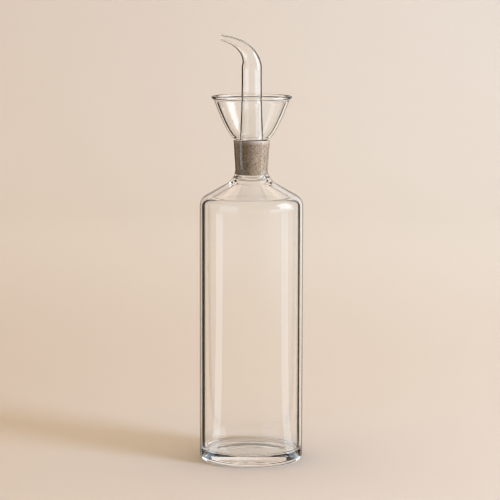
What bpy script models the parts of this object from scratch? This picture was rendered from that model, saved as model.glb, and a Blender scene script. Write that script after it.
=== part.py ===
"""Glass oil bottle and its pourer: a turned bottle, and a ground cone with a drip funnel and a bent spout.

Run it with blender --background --python part.py, or from Blender's text editor.
Units are metres, +Z is up, and the origin is on the axis at the underside of the bottle.
The spout points along -X.
"""

import math

import bpy
from mathutils import Vector

MM = 0.001

# Bottle, outside
BODY_RADIUS = 35.0 * MM
BASE_CORNER = 4.0 * MM
SHOULDER_HEIGHT = 177.6 * MM  # where the straight wall and the shoulder's slope would meet
SHOULDER_ROUND = 8.5 * MM
SHOULDER_SLOPE = math.radians(29)
NECK_FOOT_RADIUS = 10.6 * MM
NECK_FOOT_ROUND = 11.0 * MM
NECK_TOP_RADIUS = 12.3 * MM
MOUTH_HEIGHT = 216.9 * MM
LIP_ROUND = 0.45 * MM

# Bottle, inside
WALL = 2.7 * MM
FLOOR_HEIGHT = 7.4 * MM
FLOOR_CORNER = 2.6 * MM
PUNT_RADIUS = 24.0 * MM  # the pushed-up middle of the base, inside the ring that it stands on
PUNT_DEPTH = 1.5 * MM
PUNT_RISE_INSIDE = 0.7 * MM
THROAT_ROUND = 5.0 * MM

# Ground joint between the neck and the pourer, tapered by 1 in 10 on the diameter
GROUND_TAPER = 0.05
GROUND_TOP = 216.4 * MM
GROUND_TOP_RADIUS = 10.2 * MM
JOINT_GAP = 0.3 * MM
JOINT_END = 190.9 * MM
JOINT_END_ROUND = 0.7 * MM
JOINT_BORE_RADIUS = 7.45 * MM
JOINT_BORE_WIDEST = 7.9 * MM
JOINT_BORE_TOP = 206.0 * MM

# Drip funnel
FUNNEL_FOOT = 217.2 * MM
FUNNEL_FOOT_RADIUS = 11.3 * MM
FUNNEL_TOP = 245.5 * MM
FUNNEL_TOP_RADIUS = 26.1 * MM
FUNNEL_FLARE = 0.7  # under 1, so the wall leaves the foot almost flat and then steepens
FUNNEL_WALL = 1.7 * MM
GUTTER_FLOOR = 215.6 * MM  # the bottom of the narrow gap between the funnel's wall and the tube
GUTTER_FLOOR_RADIUS = 8.7 * MM
RIM_BEAD = 1.05 * MM

# Spout
TUBE_RADIUS = 6.85 * MM
TUBE_WALL = 0.8 * MM
TUBE_FLARE = 1.2 * MM  # how much wider the tube is at its foot
TUBE_FLARE_TOP = 258.0 * MM
TUBE_FOOT_ROUND = 0.3 * MM
BEND_START = 266.4 * MM
BEND_LENGTH = 30.2 * MM
BEND_TIGHT_RADIUS = 13.9 * MM
BEND_OPEN_RADIUS = 49.0 * MM
TIP_RADIUS = 2.15 * MM
TIP_WALL = 0.7 * MM
TIP_TAPER = 1.5  # over 1, so the tube narrows fastest where the bend starts

# Fineness of the solids
BOTTLE_SIDES = 48
POURER_SIDES = 32
ARC_STEP = math.radians(18)
SMALL_ARC_STEP = math.radians(36)
SMALL_ROUND = 1.0 * MM
FUNNEL_STEPS = 6
TUBE_STEPS = 4
BEND_STEPS = 10
DOME_STEPS = 4
MERGE = 0.01 * MM
SHARP_ANGLE = math.radians(40)


def rounded(corners):
    """Points of an outline through corners of (radius, height, rounding), with the arc of each rounding."""
    outline = []
    for index, (radius, height, rounding) in enumerate(corners):
        corner = Vector((radius, height))
        if rounding == 0:
            outline.append(corner)
            continue
        before = (Vector(corners[index - 1][:2]) - corner).normalized()
        after = (Vector(corners[index + 1][:2]) - corner).normalized()
        half = before.angle(after) / 2
        centre = corner + (before + after).normalized() * rounding / math.sin(half)
        start = corner + before * rounding / math.tan(half) - centre
        turn = math.pi - 2 * half
        side = math.copysign(1, before.cross(start))
        steps = math.ceil(turn / (SMALL_ARC_STEP if rounding < SMALL_ROUND else ARC_STEP))
        for step in range(steps + 1):
            angle = side * turn * step / steps
            across = Vector((-start.y, start.x))
            outline.append(centre + start * math.cos(angle) + across * math.sin(angle))
    return outline


def dome(radius, height, rise):
    """Points of a shallow dome, from its middle on the axis out to its edge."""
    shares = [step / DOME_STEPS for step in range(DOME_STEPS + 1)]
    return [Vector((radius * share, height + rise * (1 - share * share))) for share in shares]


def slope_height(radius, below=0.0):
    """Height of the shoulder's slope at a radius, or of the parallel line at a distance below it."""
    outer = SHOULDER_HEIGHT + (BODY_RADIUS - radius) * math.tan(SHOULDER_SLOPE)
    return outer - below / math.cos(SHOULDER_SLOPE)


def ground_radius(height):
    """Radius of the pourer's ground cone at a height."""
    return GROUND_TOP_RADIUS - (GROUND_TOP - height) * GROUND_TAPER


def bottle_outline():
    """The bottle in section, from the middle of its floor over its lip to the middle of its underside."""
    inside = BODY_RADIUS - WALL
    throat_height = slope_height(NECK_FOOT_RADIUS, WALL)
    corners = [
        (inside, FLOOR_HEIGHT, FLOOR_CORNER),
        (inside, slope_height(inside, WALL), SHOULDER_ROUND - WALL),
        (ground_radius(throat_height) + JOINT_GAP, throat_height, THROAT_ROUND),
        (ground_radius(MOUTH_HEIGHT) + JOINT_GAP, MOUTH_HEIGHT, LIP_ROUND),
        (NECK_TOP_RADIUS, MOUTH_HEIGHT, LIP_ROUND),
        (NECK_FOOT_RADIUS, slope_height(NECK_FOOT_RADIUS), NECK_FOOT_ROUND),
        (BODY_RADIUS, SHOULDER_HEIGHT, SHOULDER_ROUND),
        (BODY_RADIUS, 0, BASE_CORNER),
    ]
    floor = dome(PUNT_RADIUS, FLOOR_HEIGHT, PUNT_RISE_INSIDE)
    punt = dome(PUNT_RADIUS, 0, PUNT_DEPTH)
    walls = rounded([(*floor[-1], 0), *corners, (*punt[-1], 0)])
    return floor[:-1] + walls[:-1] + punt[::-1]


def funnel_radius(height):
    """Outer radius of the funnel at a height."""
    share = (height - FUNNEL_FOOT) / (FUNNEL_TOP - FUNNEL_FOOT)
    return FUNNEL_FOOT_RADIUS + (FUNNEL_TOP_RADIUS - FUNNEL_FOOT_RADIUS) * share ** FUNNEL_FLARE


def funnel_wall(inwards):
    """Points up the funnel's wall, moved inwards from its outer face by a distance."""
    points = []
    span = FUNNEL_TOP - RIM_BEAD - FUNNEL_FOOT
    step_up = 0.01 * MM
    for step in range(FUNNEL_STEPS + 1):
        height = FUNNEL_FOOT + span * (0.04 + 0.92 * (step / FUNNEL_STEPS) ** 1.4)
        radius = funnel_radius(height)
        along = Vector((funnel_radius(height + step_up) - radius, step_up)).normalized()
        points.append(Vector((radius - along.y * inwards, height + along.x * inwards)))
    return points


def rim():
    """Points of the round bead on the funnel's edge, from its inner side over the top to its outer side."""
    centre = Vector((FUNNEL_TOP_RADIUS, FUNNEL_TOP))
    first = math.radians(200)
    last = math.radians(-70)
    steps = math.ceil((first - last) / SMALL_ARC_STEP)
    angles = [first + (last - first) * step / steps for step in range(steps + 1)]
    return [centre + Vector((math.cos(angle), math.sin(angle))) * RIM_BEAD for angle in angles]


def spout_radius(height):
    """Outer radius of the spout at a height, with the spout held straight."""
    if height > BEND_START:
        left = max(0.0, 1 - (height - BEND_START) / BEND_LENGTH)
        return TIP_RADIUS + (TUBE_RADIUS - TIP_RADIUS) * left ** TIP_TAPER
    share = max(0.0, (TUBE_FLARE_TOP - height) / (TUBE_FLARE_TOP - FUNNEL_FOOT))
    return TUBE_RADIUS + TUBE_FLARE * share ** 2


def spout_wall(height):
    """Thickness of the spout's wall at a height, which thins along the bend."""
    share = max(0.0, (height - BEND_START) / BEND_LENGTH)
    return TUBE_WALL + (TIP_WALL - TUBE_WALL) * share


def spout_heights(foot):
    """Heights of the rings of a straight spout, from its foot to its tip."""
    tube = [foot + (BEND_START - foot) * step / TUBE_STEPS for step in range(TUBE_STEPS)]
    bend = [BEND_START + BEND_LENGTH * step / BEND_STEPS for step in range(BEND_STEPS + 1)]
    return tube + bend


def pourer_outline():
    """The pourer in section, its spout straight: one loop from the tip down the outside and up the bore."""
    heights = spout_heights(GUTTER_FLOOR + 2 * TUBE_FOOT_ROUND)
    outside = [Vector((spout_radius(height), height)) for height in heights]
    bore = [Vector((spout_radius(height) - spout_wall(height), height)) for height in heights]
    funnel_inside = funnel_wall(FUNNEL_WALL)
    funnel_outside = funnel_wall(0)
    foot = rounded([
        (*outside[0], 0),
        (spout_radius(GUTTER_FLOOR), GUTTER_FLOOR, TUBE_FOOT_ROUND),
        (GUTTER_FLOOR_RADIUS, GUTTER_FLOOR, TUBE_FOOT_ROUND),
        (*funnel_inside[0], 0),
    ])
    joint = rounded([
        (*funnel_outside[0], 0),
        (ground_radius(FUNNEL_FOOT), FUNNEL_FOOT, 0),
        (ground_radius(JOINT_END), JOINT_END, JOINT_END_ROUND),
        (JOINT_BORE_RADIUS, JOINT_END, JOINT_END_ROUND),
        (JOINT_BORE_WIDEST, JOINT_BORE_TOP, THROAT_ROUND),
        (*bore[0], 0),
    ])
    return outside[:0:-1] + foot[:-1] + funnel_inside + rim() + funnel_outside[:0:-1] + joint[:-1] + bore


def spout_line(along):
    """Place and lean of the spout's middle line at a length along its bend, which opens out."""
    tight = 1 / BEND_TIGHT_RADIUS
    easing = (tight - 1 / BEND_OPEN_RADIUS) / (2 * BEND_LENGTH)
    steps = 40
    place = Vector((0, 0, BEND_START))
    for step in range(steps):
        middle = along * (step + 0.5) / steps
        lean = tight * middle - easing * middle ** 2
        place += Vector((-math.sin(lean), 0, math.cos(lean))) * along / steps
    return place, tight * along - easing * along ** 2


def bend_spout(mesh):
    """Carry each ring above the start of the bend on to the spout's curved middle line."""
    rings = {}
    for vertex in mesh.vertices:
        if vertex.co.z > BEND_START + MERGE:
            rings.setdefault(round(vertex.co.z / MERGE), []).append(vertex)
    for ring in rings.values():
        place, lean = spout_line(ring[0].co.z - BEND_START)
        for vertex in ring:
            across = Vector((math.cos(lean), 0, math.sin(lean))) * vertex.co.x
            vertex.co = place + across + Vector((0, vertex.co.y, 0))


def glass(name, colour):
    """Clear glass with a faint colour."""
    material = bpy.data.materials.new(name)
    material.use_nodes = True
    shader = material.node_tree.nodes["Principled BSDF"]
    shader.inputs["Base Color"].default_value = (*colour, 1)
    shader.inputs["Roughness"].default_value = 0.02
    shader.inputs["Metallic"].default_value = 0
    shader.inputs["Transmission Weight"].default_value = 1
    shader.inputs["IOR"].default_value = 1.5
    return material


def turned(name, outline, closed, sides, material, collection):
    """An object turned round Z from an outline of points (radius, height)."""
    mesh = bpy.data.meshes.new(name)
    edges = [(index, index + 1) for index in range(len(outline) - 1)]
    if closed:
        edges.append((len(outline) - 1, 0))
    mesh.from_pydata([(point.x, 0, point.y) for point in outline], edges, [])
    piece = bpy.data.objects.new(name, mesh)
    collection.objects.link(piece)
    screw = piece.modifiers.new("Turn", "SCREW")
    screw.axis = "Z"
    screw.steps = sides
    screw.render_steps = sides
    screw.use_merge_vertices = True
    screw.merge_threshold = MERGE
    graph = bpy.context.evaluated_depsgraph_get()
    piece.data = bpy.data.meshes.new_from_object(piece.evaluated_get(graph))
    piece.modifiers.clear()
    bpy.data.meshes.remove(mesh)
    piece.data.name = name
    piece.data.shade_smooth()
    piece.data.set_sharp_from_angle(angle=SHARP_ANGLE)
    piece.data.materials.append(material)
    return piece


def main():
    for thing in list(bpy.data.objects):
        bpy.data.objects.remove(thing)
    collection = bpy.data.collections.new("oil_bottle")
    bpy.context.scene.collection.children.link(collection)
    clear = glass("clear_glass", (0.93, 0.92, 0.89))
    bottle = turned("bottle", bottle_outline(), False, BOTTLE_SIDES, clear, collection)
    pourer = turned("pourer", pourer_outline(), True, POURER_SIDES, clear, collection)
    bend_spout(pourer.data)
    pourer.parent = bottle


main()
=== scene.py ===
"""Looks of an empty clear glass oil bottle with a glass pourer in its neck.

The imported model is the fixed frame. Finely turned glass replaces both of its nodes, in four
finishes, and stands in a round studio of pale paper. Sizes are in metres, and the spout points
along -X.
"""

import logging
import math
from abc import ABC, abstractmethod
from dataclasses import dataclass, field
from enum import Enum
from typing import Any

import bpy
from mathutils import Euler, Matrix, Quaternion, Vector


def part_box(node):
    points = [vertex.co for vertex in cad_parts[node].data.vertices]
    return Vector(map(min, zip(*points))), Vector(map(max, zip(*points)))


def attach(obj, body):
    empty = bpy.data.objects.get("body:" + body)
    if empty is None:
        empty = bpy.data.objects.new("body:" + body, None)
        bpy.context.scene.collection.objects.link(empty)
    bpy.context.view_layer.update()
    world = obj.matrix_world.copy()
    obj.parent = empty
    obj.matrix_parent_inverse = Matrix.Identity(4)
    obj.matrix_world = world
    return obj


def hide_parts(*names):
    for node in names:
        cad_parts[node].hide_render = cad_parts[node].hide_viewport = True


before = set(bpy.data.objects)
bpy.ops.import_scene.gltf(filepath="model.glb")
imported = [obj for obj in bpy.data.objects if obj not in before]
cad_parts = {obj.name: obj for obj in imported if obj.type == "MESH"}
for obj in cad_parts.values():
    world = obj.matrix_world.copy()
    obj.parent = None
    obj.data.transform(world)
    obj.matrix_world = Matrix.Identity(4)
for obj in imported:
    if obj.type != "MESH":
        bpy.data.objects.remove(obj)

LOG = logging.getLogger("oil_bottle")
MM = 0.001
SLACK = 0.01 * MM
NO_BEND = 100.0
BODY = "root"

Socket = bpy.types.NodeSocket
Colour = tuple[float, float, float]
Corner = tuple[float, float, float]


class Zone(Enum):
    """How a stretch of the glass is finished.

    Attributes:
        FLAT: the rippled floor and underside.
        FINE: the tube and the funnel's bead, whose painted dark edges, a painted shade, reach farther in.
        CLEAR: the other polished faces.
        GROUND: the ground joint.
    """

    FLAT = -3.0
    FINE = -1.0
    CLEAR = 0.0
    GROUND = 1.0


@dataclass(frozen=True)
class Stop:
    """One point of an outline.

    Attributes:
        place: radius and height.
        zone: the finish there.
        wander: how far the surface there strays from a true circle.
    """

    place: Vector
    zone: Zone = Zone.CLEAR
    wander: float = 0.0


class NodeWriter:
    """Adds nodes to a tree and joins them up."""

    def __init__(self, tree: bpy.types.NodeTree) -> None:
        """Take a tree and empty it."""
        self.tree = tree
        tree.nodes.clear()

    def add(self, kind: str, inputs: dict[str | int, Any] | None = None, **settings: Any) -> bpy.types.Node:
        """Add one node.

        Args:
            kind: the node's type name.
            inputs: for each input, by name or number, a plain value or the output that feeds it.
            settings: properties of the node itself.

        Returns:
            The new node.
        """
        node = self.tree.nodes.new(kind)
        for name, value in settings.items():
            setattr(node, name, value)
        for key, value in (inputs or {}).items():
            if isinstance(value, Socket):
                self.tree.links.new(value, node.inputs[key])
            else:
                node.inputs[key].default_value = value
        return node

    def math(self, operation: str, *values: Any) -> Socket:
        """Add a Math node on one to three values and return its output."""
        return self.add("ShaderNodeMath", dict(enumerate(values)), operation=operation).outputs[0]

    def total(self, *values: Any) -> Socket:
        """Add up any number of values."""
        result = values[0]
        for value in values[1:]:
            result = self.math("ADD", result, value)
        return result

    def product(self, *values: Any) -> Socket:
        """Multiply any number of values."""
        result = values[0]
        for value in values[1:]:
            result = self.math("MULTIPLY", result, value)
        return result

    def ramp(self, value: Any, low: float, high: float, start: Any = 0.0, end: Any = 1.0) -> Socket:
        """A smooth change of a number.

        Args:
            value: the output that drives it.
            low: where the change begins.
            high: where it ends.
            start: the result up to low.
            end: the result from high on.

        Returns:
            The changing number.
        """
        inputs = {0: value, 1: low, 2: high, 3: start, 4: end}
        return self.add("ShaderNodeMapRange", inputs, interpolation_type="SMOOTHSTEP").outputs[0]

    def blend(self, share: Any, first: Any, second: Any) -> Socket:
        """Mix two colours, from the first at 0 to the second at 1."""
        first_colour, second_colour = 6, 7
        inputs = {0: share, first_colour: first, second_colour: second}
        return self.add("ShaderNodeMix", inputs, data_type="RGBA").outputs[2]


class Finish(ABC):
    """A material that a piece can wear."""

    name: str

    def make(self) -> bpy.types.Material:
        """Build the material and return it."""
        material = bpy.data.materials.new(self.name)
        material.use_nodes = True
        write = NodeWriter(material.node_tree)
        write.add("ShaderNodeOutputMaterial", {"Surface": self.surface(write)})
        return material

    @abstractmethod
    def surface(self, write: NodeWriter) -> Socket:
        """Write the nodes of the surface and return the shader's output."""


@dataclass(frozen=True)
class ClearGlass(Finish):
    """Polished glass, with the faint lengthwise swell of drawn tube, a trace of haze and painted shade at its
    edges.
    """

    name: str = "clear_glass"
    thin_tint: Colour = (0.998, 0.997, 0.995)
    deep_tint: Colour = (0.986, 0.987, 0.978)
    refraction: float = 1.5
    haze: float = 0.012
    haze_start: float = 0.55
    haze_end: float = 0.8
    swell_across: float = 45.0
    swell_along: float = 6.0
    swell_depth: float = 0.05 * MM
    swell_strength: float = 0.08
    swell_detail: float = 2.0
    # Painted shade: the colour of the dark painted on the edges, and the facing range it covers.
    painted_edge_shade: Colour = (0.03, 0.03, 0.025)
    edge_shade_start: float = 0.74
    edge_shade_end: float = 0.8

    def surface(self, write: NodeWriter) -> Socket:
        """Write clear glass whose tint, haze and swell follow one slow noise, and whose edges are painted
        dark as painted shade.

        Args:
            write: the writer of the material's tree.

        Returns:
            The shader's output.
        """
        place = write.add("ShaderNodeTexCoord").outputs["Object"]
        scale = (self.swell_across, self.swell_across, self.swell_along)
        drawn = write.add("ShaderNodeMapping", {"Vector": place, "Scale": scale}).outputs[0]
        inputs = {"Vector": drawn, "Scale": 1.0, "Detail": self.swell_detail}
        swell = write.add("ShaderNodeTexNoise", inputs).outputs[0]
        inputs = {"Height": swell, "Distance": self.swell_depth, "Strength": self.swell_strength}
        facing = write.add("ShaderNodeLayerWeight", {"Blend": 0.5}).outputs["Facing"]
        tint = write.blend(swell, (*self.thin_tint, 1.0), (*self.deep_tint, 1.0))
        # Painted shade: the base colour turns nearly black where the surface is seen at a grazing angle, in
        # place of the dark surroundings that real glass edges bend in.
        edge = write.ramp(facing, self.edge_shade_start, self.edge_shade_end)
        return write.add("ShaderNodeBsdfPrincipled", {
            "Base Color": write.blend(edge, tint, (*self.painted_edge_shade, 1.0)),
            "Roughness": write.ramp(swell, self.haze_start, self.haze_end, 0.0, self.haze),
            "Normal": write.add("ShaderNodeBump", inputs).outputs[0],
            "IOR": self.refraction,
            "Transmission Weight": 1.0,
        }).outputs[0]


@dataclass(frozen=True)
class GroundGlass(Finish):
    """Glass ground with grit: matt, mottled, greyish brown and pitted, with painted light making it paler at
    its upper edge.
    """

    name: str = "ground_glass"
    pale: Colour = (0.49, 0.405, 0.28)
    dark: Colour = (0.24, 0.197, 0.128)
    # Painted light: the pale band at the joint's upper edge, and where it fades in.
    rim_light_colour: Colour = (0.62, 0.6, 0.54)
    rim_light_start: float = 213.6 * MM
    rim_light_end: float = 217.0 * MM
    refraction: float = 1.5
    clearness: float = 0.35
    mottle_size: float = 900.0
    mottle_detail: float = 4.0
    mottle_start: float = 0.35
    mottle_end: float = 0.65
    pit_size: float = 3200.0
    pit_depth: float = 0.06 * MM
    pit_strength: float = 0.6
    matt: float = 0.42
    mattest: float = 0.62
    matt_start: float = 0.3
    matt_end: float = 0.7

    def surface(self, write: NodeWriter) -> Socket:
        """Write matt glass with mottled colour, a painted light band at its upper edge and pitted bump.

        Args:
            write: the writer of the material's tree.

        Returns:
            The shader's output.
        """
        place = write.add("ShaderNodeTexCoord").outputs["Object"]
        inputs = {"Vector": place, "Scale": self.mottle_size, "Detail": self.mottle_detail}
        mottle = write.add("ShaderNodeTexNoise", inputs).outputs[0]
        pits = write.add("ShaderNodeTexVoronoi", {"Vector": place, "Scale": self.pit_size}).outputs[0]
        inputs = {"Height": pits, "Distance": self.pit_depth, "Strength": self.pit_strength}
        share = write.ramp(mottle, self.mottle_start, self.mottle_end)
        matt = write.blend(share, (*self.dark, 1.0), (*self.pale, 1.0))
        height = write.add("ShaderNodeSeparateXYZ", {0: place}).outputs[2]
        # Painted light: the colour turns pale grey towards the upper edge, for the light seen through the
        # clear glass above.
        rim = write.ramp(height, self.rim_light_start, self.rim_light_end)
        return write.add("ShaderNodeBsdfPrincipled", {
            "Base Color": write.blend(rim, matt, (*self.rim_light_colour, 1.0)),
            "Roughness": write.ramp(mottle, self.matt_start, self.matt_end, self.mattest, self.matt),
            "Normal": write.add("ShaderNodeBump", inputs).outputs[0],
            "IOR": self.refraction,
            "Transmission Weight": self.clearness,
        }).outputs[0]


@dataclass(frozen=True)
class PaintedSoftBox:
    """A painted soft box on the studio's wall or floor: a painted reflection, glow on the paper that shows in
    reflections alone.

    Attributes:
        start: compass angle of its left edge, in degrees from +Y towards +X.
        end: compass angle of its right edge.
        lowest: angle of its lower edge over the bottle's middle, in degrees.
        highest: angle of its upper edge.
        glow: how bright it is.
        edge: half the width of its soft edges, in degrees.
        outside: whether it shows only in what the outside of the glass reflects.
    """

    start: float
    end: float
    lowest: float = -100.0
    highest: float = 100.0
    glow: float = 1.0
    edge: float = 1.0
    outside: bool = False

    def between(self, write: NodeWriter, angle: Socket, low: float, high: float) -> Socket:
        """Write 1 where an angle is between two limits and 0 elsewhere, with soft edges."""
        opening = write.ramp(angle, low - self.edge, low + self.edge)
        closing = write.ramp(angle, high - self.edge, high + self.edge, 1.0, 0.0)
        return write.product(opening, closing)

    def cover(self, write: NodeWriter, bearing: Socket, rise: Socket, inside: Socket) -> Socket:
        """Write how much of a place the box covers.

        Args:
            write: the writer of the material's tree.
            bearing: the place's compass angle.
            rise: its angle over the bottle's middle.
            inside: 1 for a ray that comes from inside the glass.

        Returns:
            1 on the box and 0 beside it.
        """
        sideways = self.between(write, bearing, self.start, self.end)
        cover = write.product(sideways, self.between(write, rise, self.lowest, self.highest))
        return write.product(cover, write.math("SUBTRACT", 1.0, inside)) if self.outside else cover


@dataclass(frozen=True)
class StudioPaper(Finish):
    """Pale paper round the bottle, painted lighter to the right and towards the back as painted light and
    darker at the front left as painted shadow, with soft boxes and black flags that show in the glass alone.

    The soft boxes are painted reflections. Two painted flags, painted shade that reflected rays alone see,
    stand behind the bottle, one on each side of a bright window, and darken what the walls of the glass
    reflect. Light that glass bends up meets painted shade above a set rise.
    """

    name: str = "studio_paper"
    # The paper's own beige, painted lighter to the right as painted light.
    left_colour: Colour = (0.602, 0.554, 0.506)
    right_colour: Colour = (0.738, 0.76, 0.77)
    falloff: float = 0.6
    # Painted shade over the near floor, deepest on the left as a painted shadow, fading out towards the back.
    near_left_painted_shade: Colour = (0.77, 0.713, 0.646)
    near_right_painted_shade: Colour = (0.92, 0.872, 0.815)
    near_end: float = 0.2
    far_start: float = 1.5
    # Painted shade: the dark of the flags, of what glass bends up above a set rise and of the sky seen
    # through glass.
    painted_shade_colour: Colour = (0.012, 0.014, 0.011)
    # Painted reflections: the colour and places of soft boxes that glow on the paper for reflected rays
    # alone.
    painted_box_colour: Colour = (0.78, 0.91, 1.03)
    boxes: tuple[PaintedSoftBox, ...] = (
        PaintedSoftBox(-115.0, -96.0, highest=-4.2, glow=2.9, outside=True),
        PaintedSoftBox(92.0, 112.0, highest=-4.2, glow=2.8, outside=True),
        PaintedSoftBox(-150.0, -104.0, lowest=-4.0, highest=25.0, glow=1.3),
        PaintedSoftBox(-140.0, -108.0, lowest=25.0, highest=70.0, glow=0.8),
        PaintedSoftBox(70.0, 138.0, lowest=-4.0, highest=3.0, glow=2.6),
        PaintedSoftBox(76.0, 112.0, lowest=3.0, highest=42.0, glow=4.3),
    )
    edge_across: float = 34.0 * MM
    edge_along: float = -9.0 * MM
    left_window: float = 29.5
    right_window: float = 36.0
    flag_end: float = 50.0
    flag_edge: float = 0.03
    flag_fade: float = 0.3
    nearest: float = 0.1 * MM
    # Painted shade: the rise above which rays bent up by glass see dark.
    bent_shade_rise: float = 24.0
    bent_shade_edge: float = 4.0
    eye_level: float = 0.15
    grain_size: float = 400.0
    grain_depth: float = 0.02 * MM

    @staticmethod
    def history(write: NodeWriter) -> tuple[Socket, Socket]:
        """Write what a ray has met, unless paper came between.

        Args:
            write: the writer of the tree.

        Returns:
            1 for a reflection, and 1 for the inside of glass.
        """
        under_one = 0.5
        ray = write.add("ShaderNodeLightPath")
        straight = write.math("LESS_THAN", ray.outputs["Diffuse Depth"], under_one)
        reflected = write.product(straight, write.math("MINIMUM", ray.outputs["Glossy Depth"], 1.0))
        inside = write.product(straight, write.math("MINIMUM", ray.outputs["Transmission Depth"], 1.0))
        return reflected, inside

    def flags(self, write: NodeWriter, across: Socket, along: Socket) -> Socket:
        """Write where the two painted flags are, as seen from the bottle's left and right edges: painted
        shade for reflected rays.

        Args:
            write: the writer of the tree.
            across: the place's X.
            along: the place's Y.

        Returns:
            1 on a flag and 0 beside it.
        """
        aside = write.math("SUBTRACT", write.math("ABSOLUTE", across), self.edge_across)
        away = write.math("MAXIMUM", write.math("SUBTRACT", along, self.edge_along), self.nearest)
        slope = write.math("DIVIDE", aside, away)
        left = math.tan(math.radians(self.left_window))
        right = math.tan(math.radians(self.right_window))
        outer = math.tan(math.radians(self.flag_end))
        on_right = write.math("GREATER_THAN", across, 0.0)
        inner = write.math("MULTIPLY_ADD", on_right, right - left, left)
        begins = write.ramp(write.math("SUBTRACT", slope, inner), -self.flag_edge, self.flag_edge)
        ends = write.ramp(slope, outer, outer + self.flag_fade, 1.0, 0.0)
        return write.product(begins, ends)

    def surroundings(self, write: NodeWriter, place: Socket, plain: Socket) -> Socket:
        """Write the painted soft boxes, the painted flags and the painted shade above a set rise over a plain
        surface.

        Args:
            write: the writer of the tree.
            place: where the ray ends.
            plain: the shader of the surface itself.

        Returns:
            The shader with all of them.
        """
        across, along, height = write.add("ShaderNodeSeparateXYZ", {0: place}).outputs
        bearing = write.math("DEGREES", write.math("ARCTAN2", across, along))
        reach = write.math("SQRT", write.total(write.product(across, across), write.product(along, along)))
        above = write.math("SUBTRACT", height, self.eye_level)
        rise = write.math("DEGREES", write.math("ARCTAN2", above, reach))
        reflected, inside = self.history(write)
        # Painted shade: dark where the flags stand for reflected rays, and above a set rise for rays bent up
        # by glass.
        flagged = write.product(reflected, self.flags(write, across, along))
        overhead = write.ramp(rise, self.bent_shade_rise - self.bent_shade_edge, self.bent_shade_rise + self.bent_shade_edge)
        bent_up = write.product(overhead, write.math("SUBTRACT", 1.0, reflected))
        darkened = write.math("MAXIMUM", flagged, write.product(inside, bent_up))
        flag = write.add("ShaderNodeEmission", {"Color": (*self.painted_shade_colour, 1.0)}).outputs[0]
        dark = write.add("ShaderNodeMixShader", {0: darkened, 1: plain, 2: flag}).outputs[0]
        # Painted reflections: the soft boxes glow on the paper only for rays that glass reflected.
        covers = [box.cover(write, bearing, rise, inside) for box in self.boxes]
        glow = write.total(*(write.product(cover, box.glow) for cover, box in zip(covers, self.boxes)))
        inputs = {"Color": (*self.painted_box_colour, 1.0), "Strength": glow}
        boxes = write.add("ShaderNodeEmission", inputs).outputs[0]
        covered = write.product(reflected, write.math("MINIMUM", write.total(*covers), 1.0))
        return write.add("ShaderNodeMixShader", {0: covered, 1: dark, 2: boxes}).outputs[0]

    def surface(self, write: NodeWriter) -> Socket:
        """Write paper that is painted lighter to the right as painted light and darker at the front, most on
        the left, as painted shade and shadow, with its boxes and flags.

        Args:
            write: the writer of the material's tree.

        Returns:
            The shader's output.
        """
        place = write.add("ShaderNodeNewGeometry").outputs["Position"]
        across, along, _ = write.add("ShaderNodeSeparateXYZ", {0: place}).outputs
        spread = write.math("SQRT", write.math("MULTIPLY_ADD", across, across, self.falloff ** 2))
        share = write.math("MULTIPLY_ADD", write.math("DIVIDE", across, spread), 0.5, 0.5)
        grain = write.add("ShaderNodeTexNoise", {"Vector": place, "Scale": self.grain_size}).outputs[0]
        inputs = {"Height": grain, "Distance": self.grain_depth}
        colour = write.blend(share, (*self.left_colour, 1.0), (*self.right_colour, 1.0))
        # Painted light and shade: the paper darkens towards the front, most on the left.
        far = write.ramp(along, self.near_end, self.far_start)
        near = write.blend(share, (*self.near_left_painted_shade, 1.0), (*self.near_right_painted_shade, 1.0))
        tint = write.blend(far, near, (1.0, 1.0, 1.0, 1.0))
        paper = write.add("ShaderNodeBsdfDiffuse", {
            "Color": write.add("ShaderNodeVectorMath", {0: colour, 1: tint}, operation="MULTIPLY").outputs[0],
            "Normal": write.add("ShaderNodeBump", inputs).outputs[0],
        }).outputs[0]
        return self.surroundings(write, place, paper)


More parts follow.
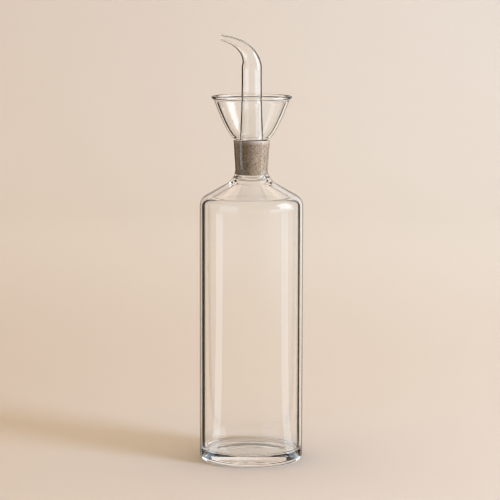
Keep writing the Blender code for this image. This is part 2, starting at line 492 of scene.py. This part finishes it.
class TurningTree:
    """The Geometry Nodes tree that turns an outline round the axis, bends its spout and dresses its zones."""

    ZONE = "zone"
    ZONE_SLACK = 0.1
    WANDER = "wander"
    WANDER_DETAIL = 2.0
    INPUTS = {
        "Geometry": "NodeSocketGeometry",
        "Sides": "NodeSocketInt",
        "Clear": "NodeSocketMaterial",
        "Fine": "NodeSocketMaterial",
        "Flat": "NodeSocketMaterial",
        "Ground": "NodeSocketMaterial",
        "Wander Lobes": "NodeSocketFloat",
        "Wander Along": "NodeSocketFloat",
        "Spine": "NodeSocketObject",
        "Bend Start": "NodeSocketFloat",
        "Weld": "NodeSocketFloat",
    }

    def __init__(self) -> None:
        """Build the tree."""
        self.tree = bpy.data.node_groups.new("turned_glass", "GeometryNodeTree")
        for name, kind in self.INPUTS.items():
            self.tree.interface.new_socket(name, in_out="INPUT", socket_type=kind)
        self.tree.interface.new_socket("Geometry", in_out="OUTPUT", socket_type="NodeSocketGeometry")
        self.write = NodeWriter(self.tree)
        self.given = self.write.add("NodeGroupInput").outputs
        turned = self.turn()
        bent = self.bend(turned)
        self.write.add("NodeGroupOutput", {"Geometry": self.dress(bent)})

    def read(self, kind: str, index: Socket, value: Socket) -> Socket:
        """Read a value from one point of the outline.

        Args:
            kind: the value's data type.
            index: the point's number.
            value: the field to read.

        Returns:
            The value at that point.
        """
        inputs = {"Geometry": self.given["Geometry"], "Value": value, "Index": index}
        return self.write.add("GeometryNodeSampleIndex", inputs, data_type=kind, domain="POINT").outputs[0]

    def stored(self, name: str) -> Socket:
        """The outline's number of that name."""
        return self.write.add("GeometryNodeInputNamedAttribute", {"Name": name}, data_type="FLOAT").outputs[0]

    def turn(self) -> Socket:
        """Wrap a grid round the axis, one column for each side and one row for each outline point.

        Returns:
            The turned shape, straight and unwelded.
        """
        write = self.write
        outline = {"Geometry": self.given["Geometry"]}
        size = write.add("GeometryNodeAttributeDomainSize", outline, component="MESH")
        rows = size.outputs["Point Count"]
        columns = write.math("ADD", self.given["Sides"], 1.0)
        grid = write.add("GeometryNodeMeshGrid", {"Vertices X": columns, "Vertices Y": rows}).outputs["Mesh"]
        cell = write.add("ShaderNodeSeparateXYZ", {0: write.add("GeometryNodeInputPosition").outputs[0]})
        across = write.math("ADD", cell.outputs["X"], 0.5)
        up = write.math("ADD", cell.outputs["Y"], 0.5)
        row = write.math("ROUND", write.math("MULTIPLY", up, write.math("SUBTRACT", rows, 1.0)))
        angle = write.math("MULTIPLY", across, math.tau)
        cosine = write.math("COSINE", angle)
        sine = write.math("SINE", angle)
        position = write.add("GeometryNodeInputPosition").outputs[0]
        stop = write.add("ShaderNodeSeparateXYZ", {0: self.read("FLOAT_VECTOR", row, position)})
        height = stop.outputs["Z"]
        lobes = self.given["Wander Lobes"]
        round_and_up = write.add("ShaderNodeCombineXYZ", {
            "X": write.product(cosine, lobes),
            "Y": write.product(sine, lobes),
            "Z": write.product(height, self.given["Wander Along"]),
        }).outputs[0]
        inputs = {"Vector": round_and_up, "Scale": 1.0, "Detail": self.WANDER_DETAIL}
        noise = write.add("ShaderNodeTexNoise", inputs).outputs[0]
        centred = write.math("SUBTRACT", noise, 0.5)
        stray = write.product(centred, self.read("FLOAT", row, self.stored(self.WANDER)))
        radius = write.math("ADD", stop.outputs["X"], stray)
        place = write.add("ShaderNodeCombineXYZ", {
            "X": write.product(radius, cosine),
            "Y": write.product(radius, sine),
            "Z": height,
        }).outputs[0]
        zone = self.read("FLOAT", row, self.stored(self.ZONE))
        inputs = {"Geometry": grid, "Name": self.ZONE, "Value": zone}
        kept = {"data_type": "FLOAT", "domain": "POINT"}
        marked = write.add("GeometryNodeStoreNamedAttribute", inputs, **kept).outputs[0]
        return write.add("GeometryNodeSetPosition", {"Geometry": marked, "Position": place}).outputs[0]

    def bend(self, straight: Socket) -> Socket:
        """Carry what stands above the bend's start on to the spine.

        Args:
            straight: the turned shape.

        Returns:
            The bent shape.
        """
        write = self.write
        here = write.add("ShaderNodeSeparateXYZ", {0: write.add("GeometryNodeInputPosition").outputs[0]})
        along = write.math("SUBTRACT", here.outputs["Z"], self.given["Bend Start"])
        spine = write.add("GeometryNodeObjectInfo", {"Object": self.given["Spine"]}).outputs["Geometry"]
        curve = write.add("GeometryNodeMeshToCurve", {"Mesh": spine}).outputs[0]
        sample = write.add("GeometryNodeSampleCurve", {"Curves": curve, "Length": along}, mode="LENGTH")
        lean = write.add("ShaderNodeSeparateXYZ", {0: sample.outputs["Tangent"]})
        across = write.add("ShaderNodeCombineXYZ", {
            "X": write.product(lean.outputs["Z"], here.outputs["X"]),
            "Y": here.outputs["Y"],
            "Z": write.product(lean.outputs["X"], here.outputs["X"], -1.0),
        }).outputs[0]
        place = write.add("ShaderNodeVectorMath", {0: sample.outputs["Position"], 1: across}, operation="ADD")
        above = write.math("GREATER_THAN", along, 0.0)
        inputs = {"Geometry": straight, "Selection": above, "Position": place.outputs[0]}
        return write.add("GeometryNodeSetPosition", inputs).outputs[0]

    def dress(self, shape: Socket) -> Socket:
        """Weld the seam and the poles, smooth the shape and give each zone its finish.

        Args:
            shape: the bent shape.

        Returns:
            The finished shape.
        """
        write = self.write
        inputs = {"Geometry": shape, "Distance": self.given["Weld"]}
        welded = write.add("GeometryNodeMergeByDistance", inputs).outputs[0]
        smooth = write.add("GeometryNodeSetShadeSmooth", {"Geometry": welded}).outputs[0]
        real = write.add("GeometryNodeRealizeInstances", {"Geometry": smooth}).outputs[0]
        inputs = {"Geometry": real, "Material": self.given["Clear"]}
        result = write.add("GeometryNodeSetMaterial", inputs).outputs[0]
        for name, zone in (("Fine", Zone.FINE), ("Flat", Zone.FLAT), ("Ground", Zone.GROUND)):
            whole = write.math("COMPARE", self.stored(self.ZONE), zone.value, self.ZONE_SLACK)
            inputs = {"Geometry": result, "Selection": whole, "Material": self.given[name]}
            result = write.add("GeometryNodeSetMaterial", inputs).outputs[0]
        return result

    def apply(self, name: str, stops: list[Stop], values: dict[str, Any]) -> bpy.types.Object:
        """Turn an outline into a finished mesh object.

        Args:
            name: the new object's name.
            stops: the outline, in order.
            values: a value for each named input of the tree.

        Returns:
            An object at the origin that holds a plain mesh.
        """
        outline = bpy.data.meshes.new(name + "_outline")
        edges = [(index, index + 1) for index in range(len(stops) - 1)]
        outline.from_pydata([(stop.place.x, 0.0, stop.place.y) for stop in stops], edges, [])
        zone = outline.attributes.new(self.ZONE, "FLOAT", "POINT")
        zone.data.foreach_set("value", [stop.zone.value for stop in stops])
        wander = outline.attributes.new(self.WANDER, "FLOAT", "POINT")
        wander.data.foreach_set("value", [stop.wander for stop in stops])
        maker = bpy.data.objects.new(name + "_maker", outline)
        bpy.context.scene.collection.objects.link(maker)
        modifier = maker.modifiers.new("Turn", "NODES")
        modifier.node_group = self.tree
        for item in self.tree.interface.items_tree:
            if item.item_type == "SOCKET" and item.in_out == "INPUT" and item.name in values:
                modifier[item.identifier] = values[item.name]
        graph = bpy.context.evaluated_depsgraph_get()
        mesh = bpy.data.meshes.new_from_object(maker.evaluated_get(graph))
        bpy.data.objects.remove(maker)
        bpy.data.meshes.remove(outline)
        mesh.name = name
        piece = bpy.data.objects.new(name, mesh)
        bpy.context.scene.collection.objects.link(piece)
        return piece


def rounded(corners: list[Corner], arc_step: float) -> list[Vector]:
    """An outline through corners, each rounded by an arc.

    Args:
        corners: the radius, height and rounding of each corner.
        arc_step: the largest turn between two points of an arc.

    Returns:
        The points of the outline.
    """
    points = []
    for index, (radius, height, rounding) in enumerate(corners):
        corner = Vector((radius, height))
        if rounding == 0:
            points.append(corner)
            continue
        before = (Vector(corners[index - 1][:2]) - corner).normalized()
        after = (Vector(corners[index + 1][:2]) - corner).normalized()
        half = before.angle(after) / 2
        centre = corner + (before + after).normalized() * rounding / math.sin(half)
        start = corner + before * rounding / math.tan(half) - centre
        turn = math.copysign(math.pi - 2 * half, before.cross(start))
        steps = math.ceil(abs(turn) / arc_step)
        for step in range(steps + 1):
            angle = turn * step / steps
            points.append(centre + start * math.cos(angle) + Vector((-start.y, start.x)) * math.sin(angle))
    return points


def divided(points: list[Vector], longest: float) -> list[Vector]:
    """The same outline with each stretch that is longer than longest cut into equal parts."""
    result = [points[0]]
    for start, end in zip(points, points[1:]):
        parts = math.ceil((end - start).length / longest)
        result.extend(start.lerp(end, part / parts) for part in range(1, parts + 1))
    return result


@dataclass(frozen=True)
class GroundJoint:
    """The cone on which the pourer sits in the neck, tapered by 1 in 10 on the diameter."""

    taper: float = 0.05
    top: float = 216.4 * MM
    bottom: float = 193.5 * MM
    top_radius: float = 10.2 * MM
    gap: float = 0.3 * MM

    def radius(self, height: float) -> float:
        """Radius of the pourer's cone at a height."""
        return self.top_radius - (self.top - height) * self.taper

    def holds(self, height: float) -> bool:
        """Whether a height is in the ground zone."""
        return self.bottom - SLACK <= height <= self.top + SLACK


@dataclass
class TurnedPiece(ABC):
    """A piece of glass turned from an outline, which replaces one node of the frame."""

    joint: GroundJoint
    name: str = ""
    node: str = ""
    slot: str = ""
    sides: int = 240
    arc_step: float = math.radians(5)
    longest: float = 5.0 * MM
    weld: float = 0.002 * MM
    wander_lobes: float = 2.5
    wander_along: float = 9.0

    @abstractmethod
    def stops(self) -> list[Stop]:
        """The outline, from outside to inside."""

    def spine(self) -> bpy.types.Object | None:
        """A curved middle line that the top of the piece follows, if it has one."""
        return None

    def bend_start(self) -> float:
        """The height from which the piece follows its spine."""
        return NO_BEND

    def build(self, tree: TurningTree, finishes: dict[str, bpy.types.Material]) -> bpy.types.Object:
        """Make the piece and join it to the frame.

        Args:
            tree: the tree that turns outlines.
            finishes: the material of each of the tree's material inputs.

        Returns:
            The finished object.
        """
        spine = self.spine()
        piece = tree.apply(self.name, self.stops(), {
            **finishes,
            "Sides": self.sides,
            "Wander Lobes": self.wander_lobes,
            "Wander Along": self.wander_along,
            "Spine": spine,
            "Bend Start": self.bend_start(),
            "Weld": self.weld,
        })
        if spine:
            bpy.data.objects.remove(spine)
        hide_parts(self.node)
        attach(piece, BODY)
        return piece


@dataclass
class Bottle(TurnedPiece):
    """The bottle: a thick base with its middle pushed up, a straight wall, a shoulder and a tapered neck."""

    name: str = "glass_bottle"
    node: str = "bottle"
    slot: str = "bottle_glass"
    radius: float = field(default_factory=lambda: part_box("bottle")[1].x)
    mouth: float = field(default_factory=lambda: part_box("bottle")[1].z)
    base_corner: float = 4.0 * MM
    shoulder_height: float = 177.6 * MM
    shoulder_round: float = 8.5 * MM
    shoulder_slope: float = math.radians(29)
    neck_foot_radius: float = 10.6 * MM
    neck_foot_round: float = 11.0 * MM
    neck_top_radius: float = 12.3 * MM
    lip_round: float = 0.45 * MM
    wall: float = 2.7 * MM
    floor_height: float = 7.4 * MM
    floor_corner: float = 2.6 * MM
    punt_radius: float = 24.0 * MM
    punt_depth: float = 1.5 * MM
    punt_rise_inside: float = 0.7 * MM
    throat_round: float = 5.0 * MM
    throat_depth: float = 3.0 * MM
    dome_steps: int = 12
    wall_wander: float = 0.04 * MM

    def slope(self, radius: float, below: float = 0.0) -> float:
        """Height of the shoulder's slope at a radius, or of the parallel line below it by a distance."""
        outer = self.shoulder_height + (self.radius - radius) * math.tan(self.shoulder_slope)
        return outer - below / math.cos(self.shoulder_slope)

    def dome(self, height: float, rise: float) -> list[Vector]:
        """A shallow dome from its middle on the axis out to the ring that the bottle stands on."""
        shares = [step / self.dome_steps for step in range(self.dome_steps + 1)]
        return [Vector((self.punt_radius * share, height + rise * (1 - share ** 2))) for share in shares]

    def stops(self) -> list[Stop]:
        """The outline from the middle of the underside, up the outside, over the lip and down inside."""
        inside = self.radius - self.wall
        throat = self.slope(self.neck_foot_radius, self.wall)
        joint = self.joint
        punt = self.dome(0.0, self.punt_depth)
        floor = self.dome(self.floor_height, self.punt_rise_inside)
        outer = rounded([
            (*punt[-1], 0),
            (self.radius, 0, self.base_corner),
            (self.radius, self.shoulder_height, self.shoulder_round),
            (self.neck_foot_radius, self.slope(self.neck_foot_radius), self.neck_foot_round),
            (self.neck_top_radius, self.mouth, self.lip_round),
            (joint.radius(self.mouth) + joint.gap, self.mouth, 0),
        ], self.arc_step)
        inner = rounded([
            (self.neck_top_radius, self.mouth, 0),
            (joint.radius(self.mouth) + joint.gap, self.mouth, self.lip_round),
            (joint.radius(joint.top) + joint.gap, joint.top, 0),
            (joint.radius(joint.bottom) + joint.gap, joint.bottom, 0),
            (joint.radius(throat) + joint.gap, throat, self.throat_round),
            (inside, self.slope(inside, self.wall), self.shoulder_round - self.wall),
            (inside, self.floor_height, self.floor_corner),
            (*floor[-1], 0),
        ], self.arc_step)
        outside = punt[:-1] + divided(outer[:-1], self.longest)
        hollow = divided(inner[1:], self.longest)[:-1] + floor[::-1]
        return [self.outer_stop(point) for point in outside] + [self.inner_stop(point) for point in hollow]

    def outer_stop(self, point: Vector) -> Stop:
        """A point of the outside: nearly flat on the underside."""
        underneath = point.x < self.radius - self.base_corner and point.y < self.floor_height
        return Stop(point, Zone.FLAT if underneath else Zone.CLEAR)

    def inner_stop(self, point: Vector) -> Stop:
        """A point of the hollow: ground in the neck, uneven down the wall and even on the floor.

        Args:
            point: its radius and height.

        Returns:
            The point with its finish and its wander.
        """
        in_neck = point.x < self.neck_top_radius and point.y > self.joint.bottom - self.throat_depth
        if in_neck:
            zone = Zone.GROUND if self.joint.holds(point.y) else Zone.CLEAR
            return Stop(point, zone)
        on_floor = point.x < self.radius - self.wall - self.floor_corner and point.y < 2 * self.floor_height
        return Stop(point, Zone.FLAT) if on_floor else Stop(point, wander=self.wall_wander)


@dataclass
class Pourer(TurnedPiece):
    """The pourer: a hollow ground cone, a drip funnel with a beaded rim, and a bent, tapering spout."""

    name: str = "glass_pourer"
    node: str = "pourer"
    slot: str = "pourer_glass"
    sides: int = 160
    joint_end: float = 190.9 * MM
    joint_end_round: float = 0.7 * MM
    joint_bore_radius: float = 7.45 * MM
    joint_bore_widest: float = 7.9 * MM
    joint_bore_top: float = 206.0 * MM
    joint_bore_round: float = 5.0 * MM
    funnel_foot: float = 217.2 * MM
    funnel_foot_radius: float = 11.3 * MM
    funnel_top: float = 245.5 * MM
    funnel_top_radius: float = 26.1 * MM
    funnel_flare: float = 0.7
    funnel_wall: float = 1.7 * MM
    funnel_first: float = 0.04
    funnel_share: float = 0.92
    funnel_crowding: float = 1.4
    gutter_floor: float = 215.6 * MM
    gutter_floor_radius: float = 8.7 * MM
    rim_bead: float = 1.05 * MM
    rim_reach: float = 1.1
    tube_radius: float = 6.85 * MM
    tube_wall: float = 0.8 * MM
    tube_flare: float = 1.2 * MM
    tube_flare_top: float = 258.0 * MM
    tube_foot_round: float = 0.3 * MM
    bend_foot: float = 266.4 * MM
    bend_length: float = 30.2 * MM
    bend_tight_radius: float = 13.9 * MM
    bend_open_radius: float = 49.0 * MM
    tip_radius: float = 2.15 * MM
    tip_wall: float = 0.7 * MM
    tip_taper: float = 1.5
    tip_round: float = 0.35 * MM
    tip_arc_step: float = math.radians(20)
    funnel_steps: int = 24
    rim_steps: int = 20
    tube_steps: int = 14
    bend_steps: int = 40
    spine_steps: int = 400
    spine_overrun: float = 1.01
    bore_wander: float = 0.06 * MM

    def funnel_radius(self, height: float) -> float:
        """Outer radius of the funnel at a height."""
        share = (height - self.funnel_foot) / (self.funnel_top - self.funnel_foot)
        spread = self.funnel_top_radius - self.funnel_foot_radius
        return self.funnel_foot_radius + spread * share ** self.funnel_flare

    def funnel_side(self, inwards: float) -> list[Vector]:
        """Points up the funnel's wall, closest together at its foot.

        Args:
            inwards: how far they lie from the outer face.

        Returns:
            The points, upwards.
        """
        points = []
        span = self.funnel_top - self.rim_bead - self.funnel_foot
        for step in range(self.funnel_steps + 1):
            share = (step / self.funnel_steps) ** self.funnel_crowding
            height = self.funnel_foot + span * (self.funnel_first + self.funnel_share * share)
            radius = self.funnel_radius(height)
            along = Vector((self.funnel_radius(height + SLACK) - radius, SLACK)).normalized()
            points.append(Vector((radius - along.y * inwards, height + along.x * inwards)))
        return points

    def rim(self) -> list[Vector]:
        """The round bead on the funnel's edge, from its outer side over the top to its inner side."""
        centre = Vector((self.funnel_top_radius, self.funnel_top))
        first = math.radians(-70)
        last = math.radians(200)
        angles = [first + (last - first) * step / self.rim_steps for step in range(self.rim_steps + 1)]
        return [centre + Vector((math.cos(angle), math.sin(angle))) * self.rim_bead for angle in angles]

    def spout_radius(self, height: float) -> float:
        """Outer radius of the spout at a height, with the spout held straight."""
        if height > self.bend_foot:
            left = max(0.0, 1 - (height - self.bend_foot) / self.bend_length)
            return self.tip_radius + (self.tube_radius - self.tip_radius) * left ** self.tip_taper
        share = max(0.0, (self.tube_flare_top - height) / (self.tube_flare_top - self.funnel_foot))
        return self.tube_radius + self.tube_flare * share ** 2

    def spout_wall(self, height: float) -> float:
        """Thickness of the spout's wall at a height, which thins along the bend."""
        share = max(0.0, (height - self.bend_foot) / self.bend_length)
        return self.tube_wall + (self.tip_wall - self.tube_wall) * share

    def spout_heights(self, foot: float) -> list[float]:
        """Heights of the rings of a straight spout, from its foot to just under its tip."""
        tube = [foot + (self.bend_foot - foot) * step / self.tube_steps for step in range(self.tube_steps)]
        bend = [self.bend_foot + self.bend_length * step / self.bend_steps for step in range(self.bend_steps)]
        return tube + bend

    def stops(self) -> list[Stop]:
        """One loop: up the cone, the funnel, its bead and the spout, and back down the bore."""
        joint = self.joint
        gutter = self.gutter_floor
        heights = self.spout_heights(gutter + 2 * self.tube_foot_round)
        spout = [Vector((self.spout_radius(height), height)) for height in heights]
        bore = [Vector((self.spout_radius(height) - self.spout_wall(height), height)) for height in heights]
        tip = self.bend_foot + self.bend_length
        polished = rounded([
            (*spout[-1], 0),
            (self.tip_radius, tip, self.tip_round),
            (self.tip_radius - self.tip_wall, tip, self.tip_round),
            (*bore[-1], 0),
        ], self.tip_arc_step)
        outer_wall = self.funnel_side(0.0)
        inner_wall = self.funnel_side(self.funnel_wall)
        foot = rounded([
            (*inner_wall[0], 0),
            (self.gutter_floor_radius, gutter, self.tube_foot_round),
            (self.spout_radius(gutter), gutter, self.tube_foot_round),
            (*spout[0], 0),
        ], self.arc_step)
        hollow = rounded([
            (*bore[0], 0),
            (self.joint_bore_widest, self.joint_bore_top, self.joint_bore_round),
            (self.joint_bore_radius, self.joint_end, self.joint_end_round),
            (joint.radius(self.joint_end), self.joint_end, 0),
        ], self.arc_step)
        end = rounded([
            (self.joint_bore_radius, self.joint_end, 0),
            (joint.radius(self.joint_end), self.joint_end, self.joint_end_round),
            (joint.radius(joint.bottom), joint.bottom, 0),
            (joint.radius(joint.top), joint.top, 0),
            (joint.radius(self.funnel_foot), self.funnel_foot, 0),
            (*outer_wall[0], 0),
        ], self.arc_step)
        cone = divided(end[1:], self.longest)
        outside = cone[:-1] + outer_wall + self.rim() + inner_wall[:0:-1] + foot + spout[1:-1] + polished
        inside = bore[-2::-1] + divided(hollow[:-1], self.longest)[1:]
        loop = [self.outer_stop(point) for point in outside]
        loop += [Stop(point, wander=self.bore_wander) for point in inside]
        return loop + [loop[0]]

    def outer_stop(self, point: Vector) -> Stop:
        """A point of the outside: ground on the cone, fine on the bead and the tube, and else clear.

        Args:
            point: its radius and height.

        Returns:
            The point with its finish.
        """
        on_cone = abs(point.x - self.joint.radius(point.y)) < SLACK
        if on_cone and self.joint.holds(point.y):
            return Stop(point, Zone.GROUND)
        from_bead = (point - Vector((self.funnel_top_radius, self.funnel_top))).length
        on_bead = from_bead < self.rim_reach * self.rim_bead
        on_tube = point.y > self.gutter_floor and point.x < self.tube_radius + self.tube_flare
        return Stop(point, Zone.FINE if on_bead or on_tube else Zone.CLEAR)

    def bend_start(self) -> float:
        """The height of the bend's foot."""
        return self.bend_foot

    def spine(self) -> bpy.types.Object:
        """The spout's curved middle line, which opens out from tight to wide.

        Returns:
            A mesh object of edges alone.
        """
        tight = 1 / self.bend_tight_radius
        easing = (tight - 1 / self.bend_open_radius) / (2 * self.bend_length)
        stride = self.spine_overrun * self.bend_length / self.spine_steps
        place = Vector((0.0, 0.0, self.bend_foot))
        places = [place]
        for step in range(self.spine_steps):
            middle = stride * (step + 0.5)
            lean = tight * middle - easing * middle ** 2
            place = place + Vector((-math.sin(lean), 0.0, math.cos(lean))) * stride
            places.append(place)
        mesh = bpy.data.meshes.new("spout_spine")
        mesh.from_pydata(places, [(index, index + 1) for index in range(self.spine_steps)], [])
        spine = bpy.data.objects.new("spout_spine", mesh)
        bpy.context.scene.collection.objects.link(spine)
        return spine


@dataclass
class Studio:
    """The round paper studio: its floor and wall, its sky, its lamps and its camera."""

    paper: StudioPaper
    floor_level: float = -0.1 * MM
    floor_radius: float = 2.4
    cove: float = 0.8
    wall_height: float = 2.4
    sides: int = 96
    arc_step: float = math.radians(5)
    longest: float = 0.4
    sky_colour: Colour = (1.37, 1.13, 0.86)
    sky_strength: float = 1.19
    key_place: Vector = field(default_factory=lambda: Vector((1.7, -1.13, 1.35)))
    key_size: float = 0.8
    key_power: float = 38.0
    key_colour: Colour = (0.62, 0.78, 1.12)
    through_place: Vector = field(default_factory=lambda: Vector((1.85, -0.6, 1.35)))
    through_power: float = 88.0
    through_colour: Colour = (0.97, 0.89, 1.0)
    base_power: float = 110.0
    base_colour: Colour = (1.0, 0.97, 0.95)
    base_lamp_height: float = 2.3
    base_spread: float = 34.0 * MM
    base_blend: float = 0.03
    camera_place: Vector = field(default_factory=lambda: Vector((-0.95 * MM, -1453 * MM, 322 * MM)))
    camera_pitch: float = math.radians(7.04)
    camera_roll: float = math.radians(0.11)
    camera_lens: float = 156.3
    bounces: int = 28
    paper_bounces: int = 4
    clamp: float = 6.0
    filter_width: float = 1.0

    def sweep(self, tree: TurningTree) -> bpy.types.Object:
        """Build the floor and the wall as one turned sweep of paper.

        Args:
            tree: the tree that turns outlines.

        Returns:
            The finished object.
        """
        paper = self.paper.make()
        corners = [
            (self.floor_radius, self.wall_height, 0),
            (self.floor_radius, self.floor_level, self.cove),
            (0.0, self.floor_level, 0),
        ]
        outline = divided(rounded(corners, self.arc_step), self.longest)
        values = {"Sides": self.sides, "Clear": paper, "Wander Lobes": 1.0, "Wander Along": 1.0,
                  "Bend Start": NO_BEND, "Weld": SLACK}
        piece = tree.apply("paper_sweep", [Stop(point) for point in outline], values)
        return piece

    def sky(self) -> None:
        """Light the studio from above, and paint the sky dark, as painted shade, for rays that come through
        glass.
        """
        world = bpy.data.worlds.new("studio_sky")
        bpy.context.scene.world = world
        world.use_nodes = True
        write = NodeWriter(world.node_tree)
        colour = {"Color": (*self.sky_colour, 1.0), "Strength": self.sky_strength}
        plain = write.add("ShaderNodeBackground", colour).outputs[0]
        # Painted shade: rays that come through glass see a dark sky.
        dark = write.add("ShaderNodeBackground", {"Color": (*self.paper.painted_shade_colour, 1.0)}).outputs[0]
        inside = self.paper.history(write)[1]
        sky = write.add("ShaderNodeMixShader", {0: inside, 1: plain, 2: dark}).outputs[0]
        write.add("ShaderNodeOutputWorld", {"Surface": sky})

    def lamp(self, name: str, place: Vector, power: float, colour: Colour) -> bpy.types.Object:
        """Make a soft round lamp that faces the bottle.

        Args:
            name: the new object's name.
            place: where it hangs.
            power: its power in watts.
            colour: the colour of its light.

        Returns:
            The lamp, not yet in the scene.
        """
        lamp = bpy.data.lights.new(name, "AREA")
        lamp.shape = "DISK"
        lamp.size = self.key_size
        lamp.energy = power
        lamp.color = colour
        holder = bpy.data.objects.new(name, lamp)
        holder.location = place
        holder.rotation_euler = place.to_track_quat("Z", "Y").to_euler()
        return holder

    def base_lamp(self) -> bpy.types.Object:
        """Make a narrow lamp overhead, for the light that the glass gathers under its base.

        Returns:
            The lamp, not yet in the scene.
        """
        lamp = bpy.data.lights.new("under_base", "SPOT")
        lamp.energy = self.base_power
        lamp.color = self.base_colour
        lamp.spot_size = 2 * math.atan(self.base_spread / self.base_lamp_height)
        lamp.spot_blend = self.base_blend
        lamp.shadow_soft_size = 0.0
        holder = bpy.data.objects.new("under_base", lamp)
        holder.location = (0.0, 0.0, self.base_lamp_height)
        return holder

    def light(self, sweep: bpy.types.Object, pieces: list[bpy.types.Object]) -> None:
        """Hang the lamps, with one for what the clear glass lets through to the ground glass inside it.

        Args:
            sweep: the paper.
            pieces: the pieces of glass.
        """
        paper = self.group("paper", [sweep])
        glass = self.group("glass", pieces)
        key = self.lamp("key", self.key_place, self.key_power, self.key_colour)
        through = self.lamp("through_glass", self.through_place, self.through_power, self.through_colour)
        base = self.base_lamp()
        for lamp, lit in ((key, None), (through, glass), (base, paper)):
            lamp.visible_glossy = False
            lamp.visible_transmission = False
            bpy.context.scene.collection.objects.link(lamp)
            if lit:
                lamp.light_linking.receiver_collection = lit
                lamp.light_linking.blocker_collection = paper

    @staticmethod
    def group(name: str, members: list[bpy.types.Object]) -> bpy.types.Collection:
        """Gather objects in a new collection, for the lamps to name, and return it."""
        collection = bpy.data.collections.new(name)
        for member in members:
            collection.objects.link(member)
        return collection

    def camera(self) -> None:
        """Place the camera where the photograph was taken from."""
        lens = bpy.data.cameras.new("camera")
        lens.lens = self.camera_lens
        holder = bpy.data.objects.new("camera", lens)
        holder.location = self.camera_place
        upright = Euler((math.pi / 2 - self.camera_pitch, 0.0, 0.0)).to_quaternion()
        holder.rotation_euler = (upright @ Quaternion((0.0, 0.0, 1.0), self.camera_roll)).to_euler()
        bpy.context.scene.collection.objects.link(holder)
        bpy.context.scene.camera = holder

    def light_paths(self) -> None:
        """Let light pass through every wall of the glass."""
        scene = bpy.context.scene
        scene.view_settings.view_transform = "Standard"
        scene.cycles.max_bounces = self.bounces
        scene.cycles.transmission_bounces = self.bounces
        scene.cycles.glossy_bounces = self.bounces
        scene.cycles.diffuse_bounces = self.paper_bounces
        scene.cycles.caustics_refractive = True
        scene.cycles.caustics_reflective = False
        scene.cycles.sample_clamp_indirect = self.clamp
        scene.cycles.use_denoising = True
        scene.cycles.filter_width = self.filter_width


def main() -> None:
    """Build the glass, the studio and the camera."""
    logging.basicConfig(level=logging.INFO, format="%(name)s: %(message)s")
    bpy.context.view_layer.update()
    tree = TurningTree()
    finishes = {
        "Clear": ClearGlass().make(),
        # The fine and flat finishes paint their edge shade over other facing ranges.
        "Fine": ClearGlass(name="fine_glass", edge_shade_start=0.4, edge_shade_end=0.64).make(),
        "Flat": ClearGlass(name="flat_glass", edge_shade_start=0.96, edge_shade_end=0.99, swell_across=110.0,
                           swell_along=110.0, swell_depth=0.2 * MM, swell_strength=0.6).make(),
        "Ground": GroundGlass().make(),
    }
    joint = GroundJoint()
    pieces = [maker.build(tree, finishes) for maker in (Bottle(joint), Pourer(joint))]
    for piece in pieces:
        LOG.info("%s: %d faces", piece.name, len(piece.data.polygons))
    studio = Studio(StudioPaper())
    studio.sky()
    studio.light(studio.sweep(tree), pieces)
    studio.camera()
    studio.light_paths()


if __name__ == "__main__":
    main()
